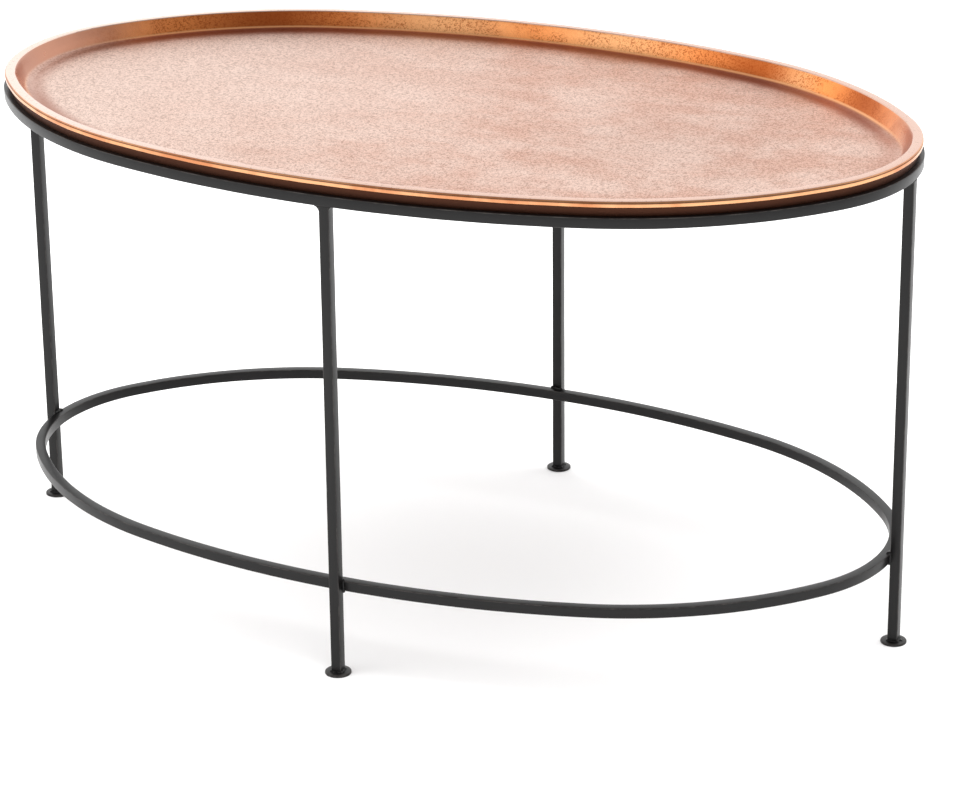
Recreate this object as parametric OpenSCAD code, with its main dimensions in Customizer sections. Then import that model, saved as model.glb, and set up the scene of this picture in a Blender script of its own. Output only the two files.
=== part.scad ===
// Oval drop-in tray table: a cast tray that lifts out of a welded square-bar stand.
// The stand's outline is an oval of eight tangent arcs, and every other outline is a parallel of it.
// The origin is on the floor under the middle of the table, with +X along its long axis and +Z up.

/* [Stand] */
// Length over the upper ring
stand_l = 927; // [780:1:1120]
// Width over the upper ring
stand_w = 542; // [450:1:650]
// Height of the upper ring's top face
stand_h = 473; // [300:1:600]
// Side of the square bar
bar = 10; // [8:0.5:14]
// Rounding of the bar's long edges
bar_round = 0.8; // [0.4:0.1:1.5]
// Radius of the upper ring's outer face at its two ends
end_r = 172; // [150:1:185]
// Height of the lower ring's top face
low_ring_h = 93; // [60:1:200]

/* [Feet] */
// Diameter of a foot disc
foot_d = 25; // [24:0.5:34]
// Thickness of a foot disc
foot_t = 2.5; // [2:0.25:5]
// Rounding of a foot disc's upper edge
foot_round = 0.8; // [0.4:0.1:1.5]

/* [Welds] */
// Leg of the heavy fillet beside the front leg's top
heavy_fillet = 6; // [4:0.5:8]
// Leg of the other fillets under the upper ring
light_fillet = 2.5; // [1.5:0.5:4]
// Leg of the fillets above and below the lower ring
low_fillet = 4; // [2:0.5:6]
// How far a fillet stops short of the bar's faces
fillet_inset = 0.8; // [0.5:0.1:2]
// Radius of the bead that closes a joint on its other sides
bead_r = 1.4; // [1:0.1:2]
// Height of the weld collar round a leg's base
collar_h = 1.8; // [1:0.1:3]
// How far the weld collar's foot stands out past the leg's corners
collar_spread = 1.6; // [1:0.1:3]
// How far the weld collar's top stands out past the leg's corners
collar_top = 0.2; // [0.1:0.1:0.6]
// How far a bead under the upper ring runs past the leg on each side
bead_over = 1.5; // [0.5:0.1:2]

/* [Tray] */
// How far the rim stays inside the upper ring's outer face
rim_inset = 1.5; // [0:0.1:4]
// Width of the rim
rim_w = 11; // [7:0.5:14]
// Height of the rim's outer face, with its roundings
rim_h = 6; // [4.5:0.5:9]
// Height of the rim's top above the upper ring
rim_rise = 15; // [11:0.5:25]
// Rounding of the rim's upper outer edge
rim_round = 1.8; // [1:0.1:2.2]
// Rounding of the rim's lower outer edge
lip_round = 1.4; // [0.8:0.1:2]
// Rounding of the rim's inner edge
rim_inner_round = 1.6; // [0.8:0.1:3]
// How far the rim's underside runs in behind its lower rounding
rim_under = 1.6; // [1:0.1:3]
// How far the floor's top lies below the upper ring's top face
floor_drop = 1; // [0:0.5:6]
// Thickness of the floor
floor_t = 4; // [3:0.5:6]
// How far the inner wall leans in on its way down
wall_run = 8; // [5:0.5:14]
// Width of the cove between wall and floor
cove_w = 6; // [4:0.5:18]
// Height of the cove
cove_h = 1.2; // [0.6:0.1:4]
// Width of the seat that rests on the upper ring
seat_w = 4.5; // [2.5:0.25:6]
// Gap between the tray's locating step and the inside of the upper ring
seat_gap = 1; // [0.3:0.1:2]
// Height of the locating step's straight part
step_land = 0.5; // [0.2:0.1:1]
// How far the locating step leans in below its straight part
step_lead = 1.5; // [0.5:0.1:3]
// Rounding of the floor's lower edge
base_round = 2; // [1:0.1:2]

/* [Hidden] */

steel_colour = [0.16, 0.155, 0.155];
weld_colour = [0.24, 0.23, 0.225];
copper_colour = [0.85, 0.6, 0.48];
$fn = 96;

// The oval. Its arcs meet where its outward normal is (4, 3)/5 and (7, 24)/25, so that a length
// on a tenth of a millimetre puts every arc's centre on a short decimal, and arcs that meet
// share their end face exactly.
function on_grid(v) = round(v * 10) / 10;
half_l = on_grid(stand_l / 2);
half_w = on_grid(stand_w / 2);
r_end = on_grid(end_r);
r_shoulder = 3.5 * half_w - 2 * r_end - half_l / 2;
r_side = 4.5 * half_l - 6.5 * half_w + 3 * r_end;
n_end = [0.8, 0.6];
n_side = [0.28, 0.96];
c_end = [half_l - r_end, 0];
c_shoulder = c_end + (r_end - r_shoulder) * n_end;
c_side = [0, half_w - r_side];

// Heights
up_bottom = stand_h - bar;
low_bottom = low_ring_h - bar;
rim_top = stand_h + rim_rise;
floor_top = stand_h - floor_drop;
floor_bottom = floor_top - floor_t;

// Where the legs stand: under the upper ring and flush with its outer face, so that the lower
// ring, one bar smaller all round, meets their inner faces
leg_places = [[half_l - bar / 2, 0], [0, half_w - bar / 2], [bar / 2 - half_l, 0], [0, bar / 2 - half_w]];
RIGHT = 0;
BACK = 1;
LEFT = 2;
FRONT = 3;

// How far a fillet reaches into the leg before the leg is cut out of it
weld_root = 0.5;
// Where a fillet's hollow face bends, as shares of its size
fillet_bend = [0.55, 0.18];
// How much of a bead's radius lies inside the leg's inner face
bead_sunk = 0.3;

// The floor's middle is one plate, and the floor's sweep reaches far enough in to lap over its corners
plate_in = 20;
plate_lap = 5;
end_sag = r_end * (1 - n_end.x);
shoulder_sag = r_shoulder * (1 - sqrt((1 + n_end * n_side) / 2));
side_sag = r_side * (1 - n_side.y);
sweep_in = plate_in + max(end_sag, shoulder_sag, side_sag) + plate_lap;

// Points of a round corner, from one angle to another
function corner(centre, r, from, to, steps) = [
  for (i = [0:steps]) let (a = from + (to - from) * i / steps) centre + r * [cos(a), sin(a)]
];

// Section of the square bar, its outer face on x = 0 and its lower face on y = 0
function bar_section() = let (r = bar_round) concat(
  corner([-r, r], r, -90, 0, 3),
  corner([-r, bar - r], r, 0, 90, 3),
  corner([r - bar, bar - r], r, 90, 180, 3),
  corner([r - bar, r], r, 180, 270, 3)
);

// How far the rim's underside slopes down towards the body
under_drop = 0.6;

// Section of the tray: x from the upper ring's outer face, y from the ground
rim_out = -rim_inset;
rim_in = rim_out - rim_w;
rim_low = rim_top - rim_h;
step_x = -bar - seat_gap;
wall_foot = [rim_in - wall_run, floor_top + cove_h];
cove_steps = 6;
function tray_section() = concat(
  [[-sweep_in, floor_bottom]],
  corner([step_x - step_lead - base_round, floor_bottom + base_round], base_round, -90, -15, 3),
  [[step_x, stand_h - step_land], [step_x, stand_h], [seat_w - bar, stand_h]],
  [[rim_out - lip_round - rim_under, rim_low - under_drop]],
  corner([rim_out - lip_round, rim_low + lip_round], lip_round, -90, 0, 4),
  corner([rim_out - rim_round, rim_top - rim_round], rim_round, 0, 90, 5),
  corner([rim_in + rim_inner_round, rim_top - rim_inner_round], rim_inner_round, 90, 150, 4),
  [wall_foot],
  [for (i = [1:cove_steps]) let (t = i / cove_steps)
    [wall_foot.x - cove_w * t, floor_top + cove_h * pow(1 - t, 2)]],
  [[-sweep_in, floor_top]]
);

// Sweeps a section round one arc of the oval, between the outward normals at its two ends
module arc(centre, r, from, to) {
  reach = 2 * r;
  translate([centre.x, centre.y, 0])
    intersection() {
      rotate_extrude() translate([r, 0]) children();
      linear_extrude(2 * rim_top, center = true) polygon([[0, 0], reach * from, reach * to]);
    }
}

// Sweeps a section round one end, or one side, of the oval
module end_arc(s) {
  arc([s * c_end.x, 0], r_end, [s * n_end.x, -s * n_end.y], [s * n_end.x, s * n_end.y]) children();
}
module side_arc(s) {
  arc([0, s * c_side.y], r_side, [s * n_side.x, s * n_side.y], [-s * n_side.x, s * n_side.y]) children();
}

// Sweeps a section round the whole oval
module round_oval() {
  for (s = [1, -1]) {
    end_arc(s) children();
    side_arc(s) children();
    for (t = [1, -1])
      arc([s * c_shoulder.x, t * c_shoulder.y], r_shoulder,
        [s * n_end.x, t * n_end.y], [s * n_side.x, t * n_side.y]) children();
  }
}

module ring(bottom, inset) {
  color(steel_colour) round_oval() translate([-inset, bottom]) polygon(bar_section());
}
module upper_ring() {
  ring(up_bottom, 0);
}
module lower_ring() {
  ring(low_bottom, bar);
}

// Puts a piece on leg i's axis, its own +X pointing out of the table
module at_leg(i) {
  translate([leg_places[i].x, leg_places[i].y, 0]) rotate(90 * i) children();
}

module leg_bar() {
  translate([bar / 2, -bar / 2, foot_t]) linear_extrude(up_bottom - foot_t) polygon(bar_section());
}
module leg(i) {
  color(steel_colour) at_leg(i) leg_bar();
}

module foot(i) {
  color(steel_colour) at_leg(i)
    rotate_extrude() polygon(concat(
      [[0, 0], [foot_d / 2, 0]],
      corner([foot_d / 2 - foot_round, foot_t - foot_round], foot_round, 0, 90, 4),
      [[0, foot_t]]
    ));
}

// A fillet's outline in the corner between -x and +y, hollow-faced, with a root on its -x side
function fillet_outline(size) = [
  [-weld_root, 0], [size, 0], [size * fillet_bend[0], -size * fillet_bend[1]],
  [size * fillet_bend[1], -size * fillet_bend[0]], [0, -size], [-weld_root, -size]
];

// Runs a fillet's outline across the bar, in the plane of Y and Z
module fillet_across(size) {
  rotate([90, 0, 90]) linear_extrude(bar - 2 * fillet_inset, center = true) polygon(fillet_outline(size));
}

// A block that stands for all of a bar on one side of a joint's flat face
module clear_block(size) {
  translate([-size.x / 2, -size.y / 2, 0]) cube(size);
}

// Weld under the upper ring: a fillet on each side of the leg and a bead across its inner face
module upper_weld(i) {
  sizes = i == FRONT ? [heavy_fillet, light_fillet] : [light_fillet, light_fillet];
  color(weld_colour) at_leg(i) difference() {
    translate([0, 0, up_bottom]) {
      translate([0, bar / 2, 0]) fillet_across(sizes[1]);
      mirror([0, 1, 0]) translate([0, bar / 2, 0]) fillet_across(sizes[0]);
      translate([bead_r * bead_sunk - bar / 2, 0, 0])
        rotate([90, 0, 0]) cylinder(h = bar + 2 * bead_over, r = bead_r, center = true);
    }
    leg_bar();
    translate([0, 0, up_bottom]) clear_block([3 * bar, 3 * bar, bar]);
  }
}

// Weld at the lower ring: a fillet above it, a fillet below it and a bead down each side of the leg
module lower_weld(i) {
  color(weld_colour) at_leg(i) difference() {
    union() {
      for (above = [true, false])
        translate([-bar / 2, 0, above ? low_ring_h : low_bottom]) mirror([0, 0, above ? 1 : 0])
          rotate(90) fillet_across(low_fillet);
      for (s = [1, -1])
        translate([-bar / 2, s * bar / 2, low_bottom - low_fillet / 2])
          cylinder(h = bar + low_fillet, r = bead_r);
    }
    leg_bar();
    translate([-bar / 2 - bar, 0, low_bottom]) clear_block([2 * bar, 3 * bar, bar]);
  }
}

// Weld round a leg's base
module foot_weld(i) {
  corner_r = bar * sqrt(2) / 2;
  color(weld_colour) at_leg(i) difference() {
    translate([0, 0, foot_t])
        cylinder(h = collar_h, r1 = corner_r + collar_spread, r2 = corner_r + collar_top);
    leg_bar();
  }
}

// The flat middle of the floor, with a corner on each line where two arcs of the oval meet
module floor_plate() {
  p = c_end + (r_end - plate_in) * n_end;
  q = c_shoulder + (r_shoulder - plate_in) * n_side;
  translate([0, 0, floor_bottom]) linear_extrude(floor_t)
    polygon([p, q, [-q.x, q.y], [-p.x, p.y], [-p.x, -p.y], [-q.x, -q.y], [q.x, -q.y], [p.x, -p.y]]);
}

module tray() {
  color(copper_colour) {
    round_oval() polygon(tray_section());
    floor_plate();
  }
}

tray();
upper_ring();
lower_ring();
leg(RIGHT);  // leg_right
leg(BACK);  // leg_back
leg(LEFT);  // leg_left
leg(FRONT);  // leg_front
foot(RIGHT);  // foot_right
foot(BACK);  // foot_back
foot(LEFT);  // foot_left
foot(FRONT);  // foot_front
upper_weld(RIGHT);  // upper_weld_right
upper_weld(BACK);  // upper_weld_back
upper_weld(LEFT);  // upper_weld_left
upper_weld(FRONT);  // upper_weld_front
lower_weld(RIGHT);  // lower_weld_right
lower_weld(BACK);  // lower_weld_back
lower_weld(LEFT);  // lower_weld_left
lower_weld(FRONT);  // lower_weld_front
foot_weld(RIGHT);  // foot_weld_right
foot_weld(BACK);  // foot_weld_back
foot_weld(LEFT);  // foot_weld_left
foot_weld(FRONT);  // foot_weld_front
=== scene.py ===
"""Oval tray table: a cast, copper-coloured tray that rests in a welded stand of black square bar.

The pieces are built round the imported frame, in metres. Each operator makes one piece or one group of like
pieces, and gives it its finish.
"""

import math

import bmesh
import bpy
from mathutils import Matrix, Vector, noise


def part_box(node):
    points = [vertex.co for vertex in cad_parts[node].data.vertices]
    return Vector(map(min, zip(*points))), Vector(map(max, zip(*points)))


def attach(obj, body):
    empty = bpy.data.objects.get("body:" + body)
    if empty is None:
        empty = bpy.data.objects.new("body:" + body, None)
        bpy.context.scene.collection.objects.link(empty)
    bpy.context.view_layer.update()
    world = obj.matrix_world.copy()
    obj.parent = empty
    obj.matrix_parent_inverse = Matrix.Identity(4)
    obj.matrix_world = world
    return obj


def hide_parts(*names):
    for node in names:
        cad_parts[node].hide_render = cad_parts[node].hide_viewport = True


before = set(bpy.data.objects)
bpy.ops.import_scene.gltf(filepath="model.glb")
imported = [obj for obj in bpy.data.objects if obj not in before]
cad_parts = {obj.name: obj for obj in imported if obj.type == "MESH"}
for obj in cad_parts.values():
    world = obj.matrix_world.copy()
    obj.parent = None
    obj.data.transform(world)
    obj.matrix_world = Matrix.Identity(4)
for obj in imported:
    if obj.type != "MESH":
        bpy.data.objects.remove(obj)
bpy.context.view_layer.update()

bl_info = {
    "name": "Oval tray table",
    "version": (1, 0, 0),
    "blender": (4, 5, 0),
    "location": "View3D > Sidebar > Tray table",
    "description": "Builds the tray, the welded stand and a plain stage around the packed frame",
    "category": "Object",
}

MM = 0.001
PLACES = ("right", "back", "left", "front")
TRAY_MARKS = ("wall", "rim", "edge", "shade", "cove")
MERGE = 0.02 * MM
SHARP_BAR = math.radians(40)
SHARP_TRAY = math.radians(50)
BAR_WAVES = 28.0
WALL_WAVES = 45.0
FLOOR_WAVES = 9.0
WELD_GRAIN = 700.0


# ---------------------------------------------------------------- sizes and colours


def length(name, description, millimetres):
    """A size that a user can change, given in millimetres and kept in metres."""
    return bpy.props.FloatProperty(
        name=name, description=description, default=millimetres * MM,
        min=0.0, precision=5, unit="LENGTH", subtype="DISTANCE",
    )


def place(name, description, metres):
    """A point that a user can move."""
    return bpy.props.FloatVectorProperty(
        name=name, description=description, default=metres, size=3,
        unit="LENGTH", subtype="XYZ",
    )


def angle(name, description, degrees):
    """An angle, given in degrees and kept in radians."""
    return bpy.props.FloatProperty(
        name=name, description=description, default=math.radians(degrees),
        unit="ROTATION", subtype="ANGLE",
    )


def number(name, description, value):
    """A plain number, not below 0."""
    return bpy.props.FloatProperty(name=name, description=description, default=value, min=0.0)


def colour(name, description, red, green, blue):
    """A colour, in linear light."""
    return bpy.props.FloatVectorProperty(
        name=name, description=description, default=(red, green, blue), size=3,
        min=0.0, max=1.0, subtype="COLOR",
    )


class StandSizes(bpy.types.PropertyGroup):
    """Sizes of the welded stand that its box doesn't give."""

    end_radius: length("End radius", "Radius of the upper ring's outer face at its two ends", 172)
    bar_round: length("Bar rounding", "Rounding of the square bar's long edges", 0.8)
    waviness: length("Waviness", "How far the bar's faces stray from flat", 0.07)
    foot_crown: length("Foot crown", "How far a foot disc's top is domed", 0.35)
    step: length("Step", "Length of one step along a ring", 5)


class TraySizes(bpy.types.PropertyGroup):
    """Sizes of the cast tray's section."""

    rim_width: length("Rim width", "Width of the rim, from its outer face to its inner edge", 11)
    rim_height: length("Rim height", "Height of the rim's outer face and its roundings", 6)
    rim_crown: length("Rim crown", "How far the rim's top is domed", 0.35)
    groove: length("Groove", "Depth of the fine groove along the rim's upper outer edge", 0.45)
    depth: length("Depth", "From the rim's top to the floor", 16)
    wall_run: length("Wall run", "How far the inner wall leans in on its way down", 8)
    cove_width: length("Cove width", "Width of the cove between wall and floor", 6)
    cove_height: length("Cove height", "Height of the cove at the wall", 1.2)
    seat_width: length("Seat width", "How far the body reaches over the upper ring", 4.5)
    seat_gap: length("Seat gap", "Gap between the locating step and the ring's inner face", 1)
    ripple: length("Ripple", "Depth of the floor's long, shallow waves", 0.3)
    chasing: length("Chasing", "Depth of the hand-filed unevenness of the rim and the wall", 0.22)
    grid: length("Floor grid", "Spacing of the floor's mesh", 11)
    step: length("Step", "Length of one step along the rim", 4)


class Finishes(bpy.types.PropertyGroup):
    """Colours of the metal and the paint."""

    # Besides the worn pale floor, this colour is painted light: floor and rim top are painted paler towards
    # the left, where the light falls, and a painted highlight lies on the floor.
    copper_pale_and_lit: colour("Pale copper", "The floor where it is worn pale", 0.83, 0.635, 0.545)
    copper_rose: colour("Rose copper", "The floor's ground colour", 0.61, 0.315, 0.215)
    copper_brown: colour("Brown copper", "The floor's darker patches and grains", 0.28, 0.13, 0.08)
    copper_rim: colour("Rim copper", "The rim's rubbed top", 0.66, 0.43, 0.34)
    copper_orange: colour("Orange copper", "The wall", 1.0, 0.34, 0.10)
    # Painted highlights: the wall's bright spots and the bright line along the wall's foot.
    copper_highlight: colour("Golden copper", "The wall where it is rubbed bright", 1.0, 0.50, 0.22)
    # Besides the wall's darker patches and grains, this colour is painted dark reflection at listed spots
    # on the far wall.
    copper_burnt_and_dark_reflection: colour("Burnt copper", "The wall's darker patches", 0.36, 0.07, 0.013)
    # Painted reflection: the wall at the two ends is painted rosier than the sides, for the different light
    # it shows there.
    copper_end_wall_reflection: colour("Rosy copper", "The wall at the tray's two ends", 0.43, 0.225, 0.165)
    # Partly patina in the crease, partly a painted dark reflection along the wall's foot.
    copper_crease_patina_and_reflection: colour("Crease copper", "The floor along the wall's foot", 0.32, 0.09, 0.035)
    copper_edge: colour("Edge copper", "The rim's outer face", 0.72, 0.36, 0.18)
    # Painted shade: the dark colour of the body below the rim and of the groove, where shade falls; the
    # underside takes the same colour, and all of it is left rougher, unpolished.
    copper_shade: colour("Shaded copper", "The unpolished metal below the rim", 0.085, 0.034, 0.021)
    paint: colour("Paint", "The stand's satin black", 0.005, 0.0046, 0.0046)
    paint_worn: colour("Worn paint", "The paint where its edges are rubbed", 0.055, 0.05, 0.047)


class StageSettings(bpy.types.PropertyGroup):
    """The camera, the light and the floor."""

    aim: place("Aim", "The point that the camera looks at", (0.0922, -0.1302, 0.2431))
    heading: angle("Heading", "The camera's turn from looking along +Y", -24.21)
    pitch: angle("Pitch", "How far the camera looks down", 21.95)
    roll: angle("Roll", "The camera's lean", -0.56)
    distance: length("Distance", "From the camera to the point it looks at", 3361)
    lens: number("Lens", "The camera's focal length in millimetres", 133.4)
    sky: number("Sky", "Brightness of the studio behind the table", 1.35)
    overhead: number("Overhead", "Brightness of the studio straight overhead, as a share", 0.35)
    room: number("Room", "Brightness of the studio in front, on the right", 0.45)


GROUPS = {
    "tray_table_stand": StandSizes,
    "tray_table_tray": TraySizes,
    "tray_table_finishes": Finishes,
    "tray_table_stage": StageSettings,
}


# ---------------------------------------------------------------- shading


class Value:
    """A socket's value. Arithmetic on it adds Math nodes."""

    def __init__(self, shader, socket):
        self.shader = shader
        self.socket = socket

    def _math(self, operation, first, second):
        return self.shader.node("ShaderNodeMath", {"operation": operation}, {0: first, 1: second})

    def __add__(self, other):
        return self._math("ADD", self, other)

    def __sub__(self, other):
        return self._math("SUBTRACT", self, other)

    def __mul__(self, other):
        return self._math("MULTIPLY", self, other)

    def __rsub__(self, other):
        return self._math("SUBTRACT", other, self)

    __radd__ = __add__

    def magnitude(self):
        """The value without its sign."""
        return self.at_least(0.0 - self)

    def at_most(self, other):
        return self._math("MINIMUM", self, other)

    def at_least(self, other):
        return self._math("MAXIMUM", self, other)

    def ramp(self, low, high):
        """0 at low and below, 1 at high and above, and smooth between."""
        return self.shader.node(
            "ShaderNodeMapRange", {"interpolation_type": "SMOOTHSTEP"},
            {"Value": self, "From Min": low, "From Max": high},
        )


class Shader:
    """A material built one node at a time."""

    def __init__(self, name):
        self.material = bpy.data.materials.new(name)
        self.material.use_nodes = True
        self.tree = self.material.node_tree
        self.surface = self.tree.nodes["Principled BSDF"]
        self.place = self.node("ShaderNodeTexCoord", output="Object")

    def node(self, kind, settings=None, inputs=None, output=0):
        """Adds a node, makes its settings, then fills its sockets with numbers or links."""
        made = self.tree.nodes.new(kind)
        for name, value in (settings or {}).items():
            setattr(made, name, value)
        for socket, value in (inputs or {}).items():
            self.fill(made.inputs[socket], value)
        return Value(self, made.outputs[output])

    def fill(self, socket, value):
        """Links a value to a socket, or sets the socket itself to a number, a vector or a colour."""
        if isinstance(value, Value):
            self.tree.links.new(value.socket, socket)
        elif socket.type == "RGBA":
            socket.default_value = (*value[:3], 1.0)
        else:
            socket.default_value = value

    def stretched(self, scale):
        """The piece's own coordinates, scaled differently along each axis."""
        return self.node("ShaderNodeMapping", None, {"Vector": self.place, "Scale": scale})

    def noise(self, scale, detail, roughness, distortion=0.0, vector=None):
        """Smooth noise about 0.5."""
        return self.node(
            "ShaderNodeTexNoise", {"noise_dimensions": "3D"},
            {"Vector": vector or self.place, "Scale": scale, "Detail": detail,
             "Roughness": roughness, "Distortion": distortion},
        )

    def attribute(self, name):
        """A mark that the mesh carries, from 0 to 1."""
        return self.node("ShaderNodeAttribute", {"attribute_name": name}, output="Fac")

    def along(self, axis):
        """The place along one axis, in metres."""
        return self.node(
            "ShaderNodeSeparateXYZ", None, {"Vector": self.place}, output=axis,
        )

    def near(self, spot, reach):
        """1 at a spot, and less and less away from it, down to 0 at its reach."""
        away = self.node(
            "ShaderNodeVectorMath", {"operation": "DISTANCE"}, {0: self.place, 1: spot},
            output="Value",
        )
        return 1.0 - away.ramp(0.0, reach)

    def mix(self, factor, first, second):
        """The first colour where the factor is 0, and the second where it is 1."""
        made = self.tree.nodes.new("ShaderNodeMix")
        made.data_type = "RGBA"
        sockets = [s for s in made.inputs if s.enabled]
        for socket, value in zip(sockets, (factor, first, second)):
            self.fill(socket, value)
        return Value(self, next(s for s in made.outputs if s.enabled))

    def bump(self, strength, distance, height):
        """Normals tilted as if the surface rose and fell with the height."""
        return self.node(
            "ShaderNodeBump", None,
            {"Strength": strength, "Distance": distance, "Height": height},
            output="Normal",
        )

    def finish(self, **sockets):
        """Fills the surface's sockets, named with underscores for spaces, and gives the material."""
        for name, value in sockets.items():
            self.fill(self.surface.inputs[name.replace("_", " ")], value)
        return self.material


# Places on the tray, in metres, each with its reach: painted dark reflections and painted highlights on the
# far wall, a painted highlight on the floor, and a browner patch on the floor right of the middle.
WALL_DARK_REFLECTION_SPOTS = (
    ((-0.30, 0.20, 0.480), 0.13), ((0.23, 0.222, 0.470), 0.08), ((0.37, 0.155, 0.474), 0.075),
)
WALL_HIGHLIGHT_SPOTS = (
    ((0.07, 0.25, 0.474), 0.11), ((0.275, 0.205, 0.472), 0.045), ((-0.12, 0.25, 0.480), 0.12),
)
FLOOR_HIGHLIGHT_SPOT = ((-0.06, 0.045, 0.472), 0.12)
TAN_SPOT = ((0.24, -0.01, 0.472), 0.20)

# How far along X, in metres, the wall turns from a side into an end.
END_ZONE = (0.37, 0.45)


class CopperGrain:
    """The unevenness that the tray's colours share, from broad clouds down to single grains."""

    def __init__(self, shader):
        stretched = (1.0, 3.5, 1.0)
        self.clouds = shader.noise(4.5, 4.0, 0.6, 0.3)
        self.drift = shader.noise(15.0, 4.0, 0.65)
        self.streaks = shader.noise(9.0, 4.0, 0.65, 0.2, shader.stretched(stretched))
        self.sand = shader.noise(380.0, 2.0, 0.75)
        self.grit = shader.noise(760.0, 2.0, 0.6)
        self.fine = self.sand * 0.6 + self.grit * 0.4
        self.specks = self.sand.ramp(0.58, 0.70)
        self.ends = shader.along("X").magnitude().ramp(*END_ZONE)


def floor_copper(shader, tones, grain, cove):
    """The floor: rose copper worn pale, painted paler towards the left where the light falls, and dark
    along the wall's foot, partly patina and partly painted dark reflection.
    """
    mottle = grain.clouds * 0.35 + grain.drift * 0.4 + grain.streaks * 0.25
    # Painted light: the floor is painted paler towards the left, where the light falls.
    lit_from_the_left = shader.along("X").ramp(0.10, -0.40)
    tint = shader.mix(mottle.ramp(0.40, 0.60) * 0.7, tones.copper_rose, tones.copper_pale_and_lit)
    tint = shader.mix(lit_from_the_left * 0.9, tint, tones.copper_pale_and_lit)
    # Painted highlight on the floor, left of the middle.
    tint = shader.mix(shader.near(*FLOOR_HIGHLIGHT_SPOT) * 0.4, tint, tones.copper_pale_and_lit)
    tint = shader.mix(shader.near(*TAN_SPOT) * 0.16, tint, tones.copper_brown)
    light_grains = grain.fine.ramp(0.56, 0.42) * 0.25
    dark_grains = grain.fine.ramp(0.46, 0.58) * 0.50 + grain.specks * 0.2
    tint = shader.mix(light_grains, tint, tones.copper_pale_and_lit)
    tint = shader.mix(dark_grains, tint, tones.copper_brown)
    # Darker along the wall's foot: partly patina in the crease, partly a painted dark reflection; less at
    # the tray's two ends.
    foot = cove.ramp(0.10, 0.70) * (1.0 - grain.ends * 0.7) * 0.85
    return shader.mix(foot, tint, tones.copper_crease_patina_and_reflection)


def wall_copper(shader, tones, grain):
    """The wall: orange copper with burnt patches and grains, painted highlights and painted dark
    reflections at listed spots, and painted rosier at the tray's two ends for the reflection it shows
    there.
    """
    patches = (grain.drift * 0.6 + grain.clouds * 0.4).ramp(0.42, 0.60) * 0.38
    tint = shader.mix(patches, tones.copper_orange, tones.copper_burnt_and_dark_reflection)
    # Painted highlights at listed spots on the far wall.
    for spot, reach in WALL_HIGHLIGHT_SPOTS:
        tint = shader.mix(shader.near(spot, reach) * 0.9, tint, tones.copper_highlight)
    # Painted dark reflections at listed spots on the far wall.
    for spot, reach in WALL_DARK_REFLECTION_SPOTS:
        tint = shader.mix(shader.near(spot, reach) * 0.85, tint, tones.copper_burnt_and_dark_reflection)
    # Painted reflection: the wall is painted rosier at the tray's two ends.
    tint = shader.mix(grain.ends * 0.9, tint, tones.copper_end_wall_reflection)
    dark_grains = grain.fine.ramp(0.48, 0.60) * grain.drift.ramp(0.40, 0.52)
    return shader.mix(dark_grains * (1.0 - grain.ends) * 0.7, tint, tones.copper_burnt_and_dark_reflection)


def cast_copper():
    """Copper-coloured cast metal: pale and mottled on the floor, and orange on the wall and lip, with
    painted light, painted shade, painted highlights and painted reflections laid into its colour.
    """
    tones = bpy.context.scene.tray_table_finishes
    shader = Shader("cast_copper")
    wall, rim, edge, shade, cove = (shader.attribute(name) for name in TRAY_MARKS)
    grain = CopperGrain(shader)
    tint = shader.mix(
        wall, floor_copper(shader, tones, grain, cove), wall_copper(shader, tones, grain),
    )
    # Painted highlight: a bright line along the wall's foot, where the wall mark climbs, except at the
    # ends.
    crease_highlight = wall * (1.0 - wall) * 2.8 * (1.0 - grain.ends)
    tint = shader.mix(crease_highlight, tint, tones.copper_highlight)
    edge_patches = grain.drift.ramp(0.4, 0.65) * 0.5
    edge_tint = shader.mix(edge_patches, tones.copper_edge, tones.copper_burnt_and_dark_reflection)
    tint = shader.mix(edge, tint, edge_tint)
    # Painted light: the rim's top is painted paler towards the left, where the light falls.
    lit_from_the_left = shader.along("X").ramp(0.10, -0.45)
    top = shader.mix(lit_from_the_left, tones.copper_rim, tones.copper_pale_and_lit)
    tint = shader.mix(rim, tint, shader.mix(grain.specks * 0.4, top, tones.copper_brown))
    # Painted shade below the rim, in the groove and on the underside.
    tint = shader.mix(shade, tint, tones.copper_shade)
    polished = (rim + edge * 0.6 + cove * 0.5).at_most(1.0)
    roughness = 0.30 + grain.drift * 0.08 - polished * 0.12 + shade * 0.30
    return shader.finish(
        Base_Color=tint, Metallic=1.0, Roughness=roughness,
        Normal=shader.bump(0.35, 0.0008, grain.fine * (1.0 - polished * 0.8)),
    )


def satin_black(name, rubbed_edges=True, lumps=0.0):
    """Satin black paint over steel. Welds take lumps, and bars are rubbed along their edges."""
    tones = bpy.context.scene.tray_table_finishes
    shader = Shader(name)
    peel = shader.noise(900.0, 2.0, 0.5)
    smear = shader.noise(26.0, 4.0, 0.6)
    specks = shader.noise(1700.0, 1.0, 0.5).ramp(0.68, 0.78)
    worn = specks * 0.25
    if rubbed_edges:
        chips = shader.noise(75.0, 5.0, 0.7).ramp(0.40, 0.66)
        worn = (worn + shader.attribute("edge") * (0.25 + chips * 0.75)).at_most(1.0)
    relief = peel * 0.6 + smear * 0.8
    if lumps:
        relief = relief + shader.noise(420.0, 4.0, 0.65) * lumps
    return shader.finish(
        Base_Color=shader.mix(worn, tones.paint, tones.paint_worn), Metallic=0.0,
        Specular_IOR_Level=0.28, Roughness=0.24 + smear * 0.16 + worn * 0.15,
        Normal=shader.bump(0.2, 0.0003, relief),
    )


def pale_floor():
    """Matt, nearly white floor with faint clouds."""
    shader = Shader("pale_floor")
    cloud = shader.noise(1.4, 2.0, 0.5)
    return shader.finish(
        Base_Color=shader.mix(cloud.ramp(0.3, 0.7), (0.90, 0.90, 0.90), (0.93, 0.93, 0.93)),
        Roughness=0.9, Specular_IOR_Level=0.1,
    )


# ---------------------------------------------------------------- shapes


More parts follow.
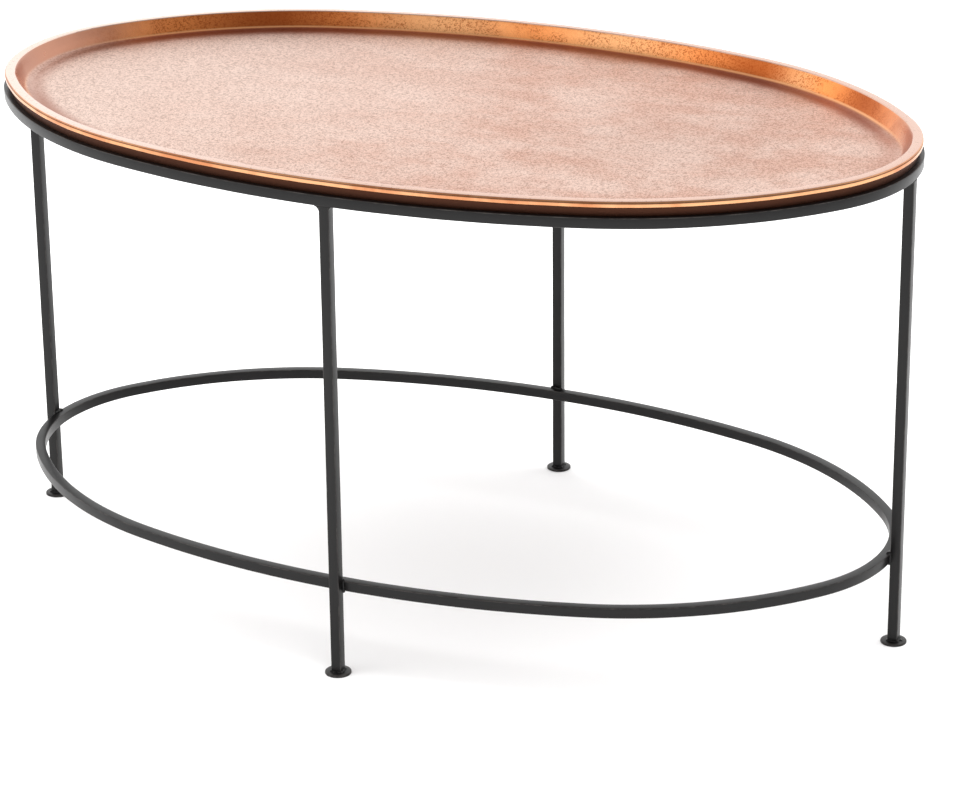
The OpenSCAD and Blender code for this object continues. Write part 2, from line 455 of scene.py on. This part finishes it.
class Oval:
    """The stand's outline at the upper ring's outer face: eight arcs that meet without a corner.

    The arcs meet where the outward normal is (4, 3)/5 and (7, 24)/25. With the end's radius and the
    two half widths given, those normals fix the other two radii.
    """

    def __init__(self):
        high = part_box("upper_ring")[1]
        end = bpy.context.scene.tray_table_stand.end_radius
        shoulder = 3.5 * high.y - 2 * end - high.x / 2
        side = 4.5 * high.x - 6.5 * high.y + 3 * end
        end_turn = math.atan2(3, 4)
        shoulder_turn = math.atan2(24, 7) - end_turn
        side_turn = 2 * math.atan2(7, 24)
        c_end = Vector((high.x - end, 0, 0))
        c_shoulder = c_end + (end - shoulder) * Vector((0.8, 0.6, 0))
        c_side = Vector((0, high.y - side, 0))
        flip_x = Matrix.Scale(-1, 3, (1, 0, 0))
        flip_y = Matrix.Scale(-1, 3, (0, 1, 0))
        self.arcs = [
            (c_end, end, end_turn),
            (c_shoulder, shoulder, shoulder_turn),
            (c_side, side, side_turn),
            (flip_x @ c_shoulder, shoulder, shoulder_turn),
            (flip_x @ c_end, end, 2 * end_turn),
            (flip_x @ flip_y @ c_shoulder, shoulder, shoulder_turn),
            (flip_y @ c_side, side, side_turn),
            (flip_y @ c_shoulder, shoulder, shoulder_turn),
            (c_end, end, end_turn),
        ]

    def sweep(self, bm, profile, step):
        """Runs a profile that stands on the +X axis once round the oval, back to its start."""
        ends = list(profile) + list({v for edge in profile for v in edge.verts})
        for centre, radius, turn in self.arcs:
            ends = bmesh.ops.spin(
                bm, geom=ends, cent=centre, axis=(0, 0, 1), angle=turn,
                steps=math.ceil(radius * turn / step), use_duplicate=False,
            )["geom_last"]
        bmesh.ops.remove_doubles(bm, verts=bm.verts, dist=MERGE)


def outline(bm, corners, segments):
    """Draws a closed outline in the XZ plane from (x, z, rounding) corners, and gives its face."""
    verts = [bm.verts.new((x, 0, z)) for x, z, _ in corners]
    bm.faces.new(verts)
    for vert, (_, _, rounding) in zip(verts, corners):
        if rounding:
            bmesh.ops.bevel(
                bm, geom=[vert], offset=rounding, offset_type="OFFSET", segments=segments,
                profile=0.5, affect="VERTICES", material=-1,
            )
    bm.faces.ensure_lookup_table()
    return bm.faces[0]


def bar_outline(bm, low, high, rounding):
    """Draws the square bar's section between two corners in the XZ plane, its edges marked."""
    face = outline(bm, [(low[0], low[1], rounding), (high[0], low[1], rounding),
                        (high[0], high[1], rounding), (low[0], high[1], rounding)], 4)
    edge = bm.verts.layers.float.new("edge")
    # A little less than the rounding, so that its ends aren't marked.
    inner = rounding * 0.97
    for vert in face.verts:
        in_x = min(vert.co.x - low[0], high[0] - vert.co.x) < inner
        in_z = min(vert.co.z - low[1], high[1] - vert.co.z) < inner
        vert[edge] = 1.0 if in_x and in_z else 0.0
    return face


def roughen(bm, verts, depth, waves):
    """Moves vertices along their normals by smooth noise, of a given number of waves a metre."""
    bm.normal_update()
    for vert in verts:
        vert.co += vert.normal * depth * noise.noise(vert.co * waves)


def add_piece(name, bm, material, body, nodes, sharp=SHARP_BAR):
    """Turns a mesh's normals out, makes it an object on a body and hides the nodes it stands for."""
    bmesh.ops.recalc_face_normals(bm, faces=bm.faces)
    for face in bm.faces:
        face.smooth = True
    mesh = bpy.data.meshes.new(name)
    bm.to_mesh(mesh)
    bm.free()
    mesh.set_sharp_from_angle(angle=sharp)
    mesh.materials.append(material)
    piece = bpy.data.objects.new(name, mesh)
    bpy.context.scene.collection.objects.link(piece)
    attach(piece, body)
    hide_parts(*nodes)
    return piece


def bar_side():
    """The side of the square bar."""
    low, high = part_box("leg_right")
    return high.x - low.x


def leg_frame(spot):
    """Turns a leg's own space, +X out of the table, to its place."""
    low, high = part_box(f"leg_{PLACES[spot]}")
    middle = (low + high) / 2
    turn = Matrix.Rotation(spot * math.pi / 2, 4, "Z")
    return Matrix.Translation((middle.x, middle.y, 0)) @ turn


# ---------------------------------------------------------------- operators


class TraySection:
    """The main places of the tray's section on the +X axis."""

    def __init__(self, sizes):
        low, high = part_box("tray")
        self.out, self.half_width = high.x, high.y
        self.top, self.under = high.z, low.z
        self.rim_in = self.out - sizes.rim_width
        self.rim_low = self.top - sizes.rim_height
        self.floor = self.top - sizes.depth
        self.crease = self.rim_in - sizes.wall_run
        self.floor_band = 5 * sizes.cove_width


class TABLE_OT_tray(bpy.types.Operator):
    """Build the cast tray"""

    bl_idname = "tray_table.tray"
    bl_label = "Tray"

    level = 0.05 * MM

    def corners(self, sizes, at):
        """The section, from the floor's underside round the rim to the floor.

        Each corner is its distance out, its height and its rounding.
        """
        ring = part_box("upper_ring")[1]
        seat = ring.x - bar_side()
        under_seat = [
            (at.crease - at.floor_band, at.under, 0),
            (seat - sizes.seat_gap - 1.9 * MM, at.under, 1.4 * MM),
            (seat - sizes.seat_gap, ring.z - 0.4 * MM, 0),
            (seat - sizes.seat_gap, ring.z, 0),
            (seat + sizes.seat_width, ring.z, 0.25 * MM),
        ]
        rim_outside = [
            (at.out - 3.3 * MM, at.rim_low - 0.6 * MM, 0.6 * MM),
            (at.out, at.rim_low, 1.3 * MM),
            (at.out, at.top - 2.3 * MM, 0.3 * MM),
            (at.out - sizes.groove, at.top - 1.9 * MM, 0.15 * MM),
            (at.out - 0.4 * sizes.groove, at.top - 1.4 * MM, 0.2 * MM),
        ]
        rim_top = [
            (at.out - 1.3 * MM, at.top - sizes.rim_crown, 0.7 * MM),
            (at.out - 0.5 * sizes.rim_width, at.top, 2.4 * MM),
            (at.rim_in + 1.3 * MM, at.top - 0.7 * sizes.rim_crown, 0.6 * MM),
        ]
        inner_wall = [
            (at.rim_in, at.top - 1.9 * MM, 1.0 * MM),
            (at.rim_in - 0.48 * sizes.wall_run, at.floor + 6.5 * MM, 3.0 * MM),
            (at.crease, at.floor + sizes.cove_height, 1.6 * MM),
        ]
        floor = [
            (at.crease - 0.95 * sizes.cove_width, at.floor, 2.2 * MM),
            (at.crease - 0.5 * at.floor_band, at.floor, 0),
            (at.crease - at.floor_band, at.floor, 0),
        ]
        return under_seat + rim_outside + rim_top + inner_wall + floor

    def mark(self, bm, face, sizes, at):
        """Marks the section's corners by the part that they belong to."""
        layers = {name: bm.verts.layers.float.new(name) for name in TRAY_MARKS}
        skin, blend = 1.0 * MM, 3 * MM
        for vert in face.verts:
            inside = at.out - vert.co.x
            below = at.top - vert.co.z
            on_top = below < skin and inside > skin
            in_groove = inside < skin and 1.35 * MM < below < 2.2 * MM
            on_edge = inside < 1.6 * MM and not on_top and vert.co.z > at.rim_low - 0.1 * MM
            is_low = skin < inside < sizes.rim_width and vert.co.z < at.rim_low + 0.1 * MM
            is_under = vert.co.z < at.floor - 0.5 * MM
            climb = min(1.0, max(0.0, (vert.co.x - at.crease + 2 * MM) / blend))
            from_wall = max(0.0, at.crease - vert.co.x)
            vert[layers["wall"]] = 0.0 if is_under else climb
            vert[layers["cove"]] = max(0.0, 1.0 - from_wall / at.floor_band)
            vert[layers["rim"]] = 1.0 if on_top else 0.0
            vert[layers["edge"]] = 1.0 if on_edge else 0.0
            # Painted shade: the body below the rim and the underside are marked fully, and the groove at
            # 0.8.
            vert[layers["shade"]] = 1.0 if is_low or is_under else (0.8 if in_groove else 0.0)

    def chase(self, bm, sizes, at):
        """Gives the wall and the rim's roundings the unevenness of hand filing."""
        low, high, reach = at.floor + 2 * MM, at.top - 0.6 * MM, at.out - 2 * MM
        filed = [v for v in bm.verts if low < v.co.z < high and v.co.to_2d().length < reach]
        roughen(bm, filed, sizes.chasing, WALL_WAVES)

    def ripple(self, bm, sizes, at):
        """Cuts the floor into a grid and gives it the long, shallow waves of a casting."""
        for axis, reach in ((Vector((1, 0, 0)), at.out), (Vector((0, 1, 0)), at.half_width)):
            cuts = int(reach / sizes.grid)
            for k in range(-cuts, cuts + 1):
                faces = [f for f in bm.faces
                         if abs(f.calc_center_median().z - at.floor) < self.level]
                around = set(faces)
                for f in faces:
                    around.update(f.edges)
                    around.update(f.verts)
                bmesh.ops.bisect_plane(
                    bm, geom=list(around), plane_co=axis * (k * sizes.grid), plane_no=axis,
                )
        for vert in bm.verts:
            at_floor = abs(vert.co.z - at.floor) < self.level
            if at_floor and not any(abs(f.normal.z) < 0.99 for f in vert.link_faces):
                wave = noise.noise(vert.co * FLOOR_WAVES)
                vert.co.z += sizes.ripple * (wave - 0.5) * 0.5

    def execute(self, context):
        sizes = context.scene.tray_table_tray
        at = TraySection(sizes)
        bm = bmesh.new()
        face = outline(bm, self.corners(sizes, at), 5)
        self.mark(bm, face, sizes, at)
        inner = min(vert.co.x for vert in face.verts)
        open_edge = [e for e in face.edges if all(abs(v.co.x - inner) < 0.01 * MM for v in e.verts)]
        bmesh.ops.delete(bm, geom=[face], context="FACES_ONLY")
        bmesh.ops.delete(bm, geom=open_edge, context="EDGES")
        Oval().sweep(bm, list(bm.edges), sizes.step)
        bmesh.ops.recalc_face_normals(bm, faces=bm.faces)
        self.chase(bm, sizes, at)
        for height in (at.under, at.floor):
            loop = [e for e in bm.edges
                    if e.is_boundary and abs(e.verts[0].co.z - height) < 0.1 * MM]
            bmesh.ops.edgeloop_fill(bm, edges=loop)
        self.ripple(bm, sizes, at)
        add_piece("cast_tray", bm, cast_copper(), "tray", ["tray"], SHARP_TRAY)
        return {"FINISHED"}


class TABLE_OT_rings(bpy.types.Operator):
    """Build the upper and lower rings"""

    bl_idname = "tray_table.rings"
    bl_label = "Rings"

    def execute(self, context):
        sizes = context.scene.tray_table_stand
        paint = satin_black("satin_black_bar")
        for node, name in (("upper_ring", "upper_hoop"), ("lower_ring", "lower_hoop")):
            low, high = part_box(node)
            bm = bmesh.new()
            face = bar_outline(
                bm, (high.x - bar_side(), low.z), (high.x, high.z), sizes.bar_round,
            )
            bmesh.ops.delete(bm, geom=[face], context="FACES_ONLY")
            Oval().sweep(bm, list(bm.edges), sizes.step)
            roughen(bm, bm.verts, sizes.waviness, BAR_WAVES)
            add_piece(name, bm, paint, "stand", [node])
        return {"FINISHED"}


class TABLE_OT_legs(bpy.types.Operator):
    """Build the four legs"""

    bl_idname = "tray_table.legs"
    bl_label = "Legs"

    rings_along = 60

    def execute(self, context):
        sizes = context.scene.tray_table_stand
        paint = satin_black("satin_black_leg")
        half = bar_side() / 2
        lie_flat = Matrix.Rotation(math.pi / 2, 3, "X")
        for spot, name in enumerate(PLACES):
            low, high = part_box(f"leg_{name}")
            bm = bmesh.new()
            face = bar_outline(bm, (-half, -half), (half, half), sizes.bar_round)
            bmesh.ops.rotate(bm, verts=bm.verts, cent=(0, 0, 0), matrix=lie_flat)
            bmesh.ops.translate(bm, verts=bm.verts, vec=(0, 0, low.z))
            top = bmesh.ops.extrude_face_region(bm, geom=[face])["geom"]
            raised = [v for v in top if isinstance(v, bmesh.types.BMVert)]
            bmesh.ops.translate(bm, verts=raised, vec=(0, 0, high.z - low.z))
            long_edges = [e for e in bm.edges if abs(e.verts[0].co.z - e.verts[1].co.z) > half]
            bmesh.ops.subdivide_edges(
                bm, edges=long_edges, cuts=self.rings_along, use_grid_fill=True,
            )
            bm.transform(leg_frame(spot))
            roughen(bm, bm.verts, sizes.waviness, BAR_WAVES)
            add_piece(f"leg_bar_{name}", bm, paint, "stand", [f"leg_{name}"])
        return {"FINISHED"}


class TABLE_OT_feet(bpy.types.Operator):
    """Build the four foot discs"""

    bl_idname = "tray_table.feet"
    bl_label = "Foot discs"

    sides = 64

    def execute(self, context):
        sizes = context.scene.tray_table_stand
        paint = satin_black("satin_black_foot")
        for spot, name in enumerate(PLACES):
            low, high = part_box(f"foot_{name}")
            radius = (high.x - low.x) / 2
            thick = high.z - low.z
            bm = bmesh.new()
            face = outline(bm, [(0, low.z, 0), (radius, low.z, 0.3 * MM),
                                (radius, high.z - sizes.foot_crown, 0.9 * MM),
                                (0.55 * radius, high.z, 2.0 * MM), (0, high.z, 0)], 4)
            edge = bm.verts.layers.float.new("edge")
            for vert in face.verts:
                rubbed = vert.co.x > radius - 1.0 * MM and vert.co.z > low.z + thick / 2
                vert[edge] = 1.0 if rubbed else 0.0
            axis_edge = [e for e in face.edges if max(v.co.x for v in e.verts) < 0.01 * MM]
            bmesh.ops.delete(bm, geom=[face], context="FACES_ONLY")
            bmesh.ops.delete(bm, geom=axis_edge, context="EDGES")
            bmesh.ops.spin(
                bm, geom=list(bm.verts) + list(bm.edges), cent=(0, 0, 0), axis=(0, 0, 1),
                angle=math.tau, steps=self.sides, use_merge=True,
            )
            bmesh.ops.remove_doubles(bm, verts=bm.verts, dist=MERGE)
            bm.transform(leg_frame(spot))
            add_piece(f"foot_disc_{name}", bm, paint, "stand", [f"foot_{name}"])
        return {"FINISHED"}


class TABLE_OT_welds(bpy.types.Operator):
    """Build the weld beads at every joint of the stand"""

    bl_idname = "tray_table.welds"
    bl_label = "Welds"

    voxel = 0.45 * MM
    grain_depth = 0.16 * MM
    smoothings = 3
    spacing = 0.75
    swelling = 0.22
    straying = 0.18

    def lay_bead(self, bm, start, end, radius, seed):
        """Lays overlapping drops of weld metal along a line, no two of one size."""
        start, end = Vector(start), Vector(end)
        drops = max(2, math.ceil((end - start).length / (self.spacing * radius)))
        for k in range(drops + 1):
            at = start.lerp(end, k / drops)
            swell = 1 + self.swelling * noise.noise(Vector((seed * 3.7, k * 1.9, 0.4)))
            stray = noise.noise_vector(Vector((seed * 5.1, k * 2.3, 7.7))) * radius * self.straying
            bmesh.ops.create_icosphere(
                bm, subdivisions=2, radius=radius * swell, matrix=Matrix.Translation(at + stray),
            )

    def lay_fillet(self, bm, size, across, turn):
        """Fills a corner with a hollow-faced wedge that runs across the bar, turned to its place."""
        part = bmesh.new()
        root, far, near, soft = -0.4 * MM, 0.50 * size, 0.16 * size, 0.2 * size
        face = outline(part, [(root, -root, 0), (size, -root, 0), (size, 0, 0), (far, -near, soft),
                              (near, -far, soft), (0, -size, 0), (root, -size, 0)], 3)
        grown = bmesh.ops.extrude_face_region(part, geom=[face])["geom"]
        raised = [v for v in grown if isinstance(v, bmesh.types.BMVert)]
        bmesh.ops.translate(part, verts=raised, vec=(0, across, 0))
        bmesh.ops.translate(part, verts=part.verts, vec=(0, -across / 2, 0))
        bmesh.ops.recalc_face_normals(part, faces=part.faces)
        part.transform(turn)
        scrap = bpy.data.meshes.new("scrap")
        part.to_mesh(scrap)
        part.free()
        bm.from_mesh(scrap)
        bpy.data.meshes.remove(scrap)

    def fuse(self, bm):
        """Melts overlapping drops and wedges into one skin with an uneven surface."""
        rough_mesh = bpy.data.meshes.new("rough")
        bm.to_mesh(rough_mesh)
        bm.free()
        rough = bpy.data.objects.new("rough", rough_mesh)
        bpy.context.scene.collection.objects.link(rough)
        remesh = rough.modifiers.new("Melt", "REMESH")
        remesh.mode = "VOXEL"
        remesh.voxel_size = self.voxel
        melted = bmesh.new()
        melted.from_object(rough, bpy.context.evaluated_depsgraph_get())
        bpy.data.objects.remove(rough)
        bpy.data.meshes.remove(rough_mesh)
        for _ in range(self.smoothings):
            bmesh.ops.smooth_vert(
                melted, verts=melted.verts, factor=0.5,
                use_axis_x=True, use_axis_y=True, use_axis_z=True,
            )
        roughen(melted, melted.verts, self.grain_depth, WELD_GRAIN)
        return melted

    def upper(self, bm, spot, half, ring_low):
        """Under the upper ring: a fillet on each side of the leg and a bead across the inner face."""
        small, large = 2.8 * MM, 6.0 * MM
        sizes = (large, small) if PLACES[spot] == "front" else (2.6 * MM, 2.6 * MM)
        at_ring = Matrix.Translation((0, 0, ring_low))
        across = 2 * half - 1.0 * MM
        inner = 0.2 * MM - half
        for side, size in zip((-1, 1), sizes):
            quarter = Matrix.Rotation(side * math.pi / 2, 4, "Z")
            turn = at_ring @ quarter @ Matrix.Translation((half, 0, 0))
            self.lay_fillet(bm, size, across, turn)
            self.lay_bead(bm, (inner, side * (half + 0.5 * size), ring_low),
                          (-half, side * 0.5 * half, ring_low), 1.1 * MM, spot + side)
        self.lay_bead(bm, (inner, -half, ring_low), (inner, half, ring_low), 1.2 * MM, spot + 5)

    def lower(self, bm, spot, half, low, high):
        """At the lower ring: beads above and below it, and one down each side of the leg."""
        out, gap = -half - 0.6 * MM, 0.4 * MM
        for k, height in enumerate((high + gap, low - gap)):
            self.lay_bead(bm, (out, -half, height), (out, half, height), 1.7 * MM, spot + 9 * k)
        inner = -half + 0.2 * MM
        for side in (-1, 1):
            self.lay_bead(bm, (inner, side * half, low), (inner, side * half, high), 1.3 * MM,
                          spot + 17 + side)
        self.lay_bead(bm, (-half - 2.0 * MM, -half - 0.4 * MM, high),
                      (-half - 1.0 * MM, 0, high), 1.9 * MM, spot + 31)

    def base(self, bm, spot, half, top):
        """Round the leg's foot: a rough collar with a few drops of spatter beside it."""
        ring = [Vector((x * half, y * half, top)) for x, y in ((1, 1), (-1, 1), (-1, -1), (1, -1))]
        for k, corner in enumerate(ring):
            self.lay_bead(bm, corner, ring[(k + 1) % 4], 1.35 * MM, spot * 4 + k)
        beside = Vector((half + 2.2 * MM, 0, top))
        for k in range(3):
            stray = noise.noise_vector(Vector((spot * 2.3, k * 4.1, 1.5))) * 2.4 * MM
            at = beside + Vector((stray.x * 0.5, stray.y * 2, 0))
            self.lay_bead(bm, at, at + Vector((0.6 * MM, 0.4 * MM, 0)), 0.8 * MM, k)

    def execute(self, context):
        paint = satin_black("satin_black_weld", rubbed_edges=False, lumps=2.5)
        half = bar_side() / 2
        upper_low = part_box("upper_ring")[0].z
        lower_low, lower_high = (corner.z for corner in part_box("lower_ring"))
        foot_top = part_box("foot_right")[1].z
        joints = (("top", "upper_weld", self.upper, (upper_low,)),
                  ("low", "lower_weld", self.lower, (lower_low, lower_high)),
                  ("base", "foot_weld", self.base, (foot_top,)))
        for spot, name in enumerate(PLACES):
            for kind, node, lay, heights in joints:
                bm = bmesh.new()
                lay(bm, spot, half, *heights)
                bm = self.fuse(bm)
                bm.transform(leg_frame(spot))
                add_piece(f"{kind}_bead_{name}", bm, paint, "stand",
                          [f"{node}_{name}"], math.pi)
        return {"FINISHED"}


class TABLE_OT_stage(bpy.types.Operator):
    """Set the floor, the soft studio light and the camera"""

    bl_idname = "tray_table.stage"
    bl_label = "Stage"

    bright_side = (-0.7, 0.714, 0.0)
    floor_reach = 15.0
    box_at = (-0.3, 0.4, 4.0)
    box_aim = (-0.3, 0.4, 0.0)
    box_size = (7.0, 7.0)
    box_power = 420
    sensor = 36.0

    def sky(self, settings):
        """A plain studio: bright behind the table on the left, dim in front on the right and above."""
        world = bpy.data.worlds.new("studio")
        world.use_nodes = True
        tree = world.node_tree
        place = tree.nodes.new("ShaderNodeTexCoord").outputs["Generated"]
        product = tree.nodes.new("ShaderNodeMath")
        product.operation = "MULTIPLY"
        fades = ((self.bright_side, (-1.0, 0.1, settings.room, settings.sky)),
                 ((0, 0, 1), (0.5, 1.0, 1.0, settings.overhead)))
        for k, (axis, span) in enumerate(fades):
            side = tree.nodes.new("ShaderNodeVectorMath")
            side.operation = "DOT_PRODUCT"
            side.inputs[1].default_value = axis
            tree.links.new(place, side.inputs[0])
            fade = tree.nodes.new("ShaderNodeMapRange")
            fade.interpolation_type = "SMOOTHSTEP"
            for socket, value in zip(("From Min", "From Max", "To Min", "To Max"), span):
                fade.inputs[socket].default_value = value
            tree.links.new(side.outputs["Value"], fade.inputs["Value"])
            tree.links.new(fade.outputs[0], product.inputs[k])
        tree.links.new(product.outputs[0], tree.nodes["Background"].inputs["Strength"])
        tree.nodes["Background"].inputs["Color"].default_value = (1.0, 1.0, 1.0, 1.0)
        return world

    def lamp(self):
        """A soft box over the table. It lights the floor, and nothing mirrors it."""
        light = bpy.data.lights.new("soft_box_over", "AREA")
        light.shape = "RECTANGLE"
        light.size, light.size_y = self.box_size
        light.energy = self.box_power
        lamp = bpy.data.objects.new("soft_box_over", light)
        lamp.location = self.box_at
        lamp.visible_glossy = False
        facing = Vector(self.box_aim) - Vector(self.box_at)
        lamp.rotation_euler = facing.to_track_quat("-Z", "Y").to_euler()
        bpy.context.scene.collection.objects.link(lamp)

    def camera(self, settings):
        """Looks at the aim point from its distance, with everything in focus."""
        turn, down, lean = settings.heading, settings.pitch, settings.roll
        forward = Vector((
            math.sin(turn) * math.cos(down), math.cos(turn) * math.cos(down), -math.sin(down),
        ))
        level = Vector((math.cos(turn), -math.sin(turn), 0))
        up = level.cross(forward)
        right = level * math.cos(lean) + up * math.sin(lean)
        top = up * math.cos(lean) - level * math.sin(lean)
        at = Vector(settings.aim) - forward * settings.distance
        facing = Matrix((right, top, -forward)).transposed().to_4x4()
        lens = bpy.data.cameras.new("camera")
        lens.lens = settings.lens
        lens.sensor_width = self.sensor
        camera = bpy.data.objects.new("camera", lens)
        camera.matrix_world = Matrix.Translation(at) @ facing
        bpy.context.scene.collection.objects.link(camera)
        bpy.context.scene.camera = camera

    def execute(self, context):
        settings = context.scene.tray_table_stage
        bm = bmesh.new()
        bmesh.ops.create_grid(bm, x_segments=2, y_segments=2, size=self.floor_reach)
        mesh = bpy.data.meshes.new("studio_floor")
        bm.to_mesh(mesh)
        bm.free()
        mesh.materials.append(pale_floor())
        floor = bpy.data.objects.new("studio_floor", mesh)
        context.scene.collection.objects.link(floor)
        context.scene.world = self.sky(settings)
        self.lamp()
        self.camera(settings)
        context.scene.view_settings.view_transform = "Standard"
        return {"FINISHED"}


OPERATORS = (
    TABLE_OT_tray, TABLE_OT_rings, TABLE_OT_legs, TABLE_OT_feet, TABLE_OT_welds, TABLE_OT_stage,
)


class TABLE_PT_panel(bpy.types.Panel):
    """Lists what the add-on builds, and the values that it builds from"""

    bl_label = "Tray table"
    bl_space_type = "VIEW_3D"
    bl_region_type = "UI"
    bl_category = "Tray table"

    def draw(self, context):
        for operator in OPERATORS:
            self.layout.operator(operator.bl_idname)
        for name, group in GROUPS.items():
            box = self.layout.box()
            for setting in group.__annotations__:
                box.prop(getattr(context.scene, name), setting)


CLASSES = (*GROUPS.values(), *OPERATORS, TABLE_PT_panel)


def register():
    for cls in CLASSES:
        bpy.utils.register_class(cls)
    for name, group in GROUPS.items():
        setattr(bpy.types.Scene, name, bpy.props.PointerProperty(type=group))


def unregister():
    for name in GROUPS:
        delattr(bpy.types.Scene, name)
    for cls in reversed(CLASSES):
        bpy.utils.unregister_class(cls)


def main():
    register()
    for operator in OPERATORS:
        group, name = operator.bl_idname.split(".")
        getattr(getattr(bpy.ops, group), name)()


if __name__ == "__main__":
    main()
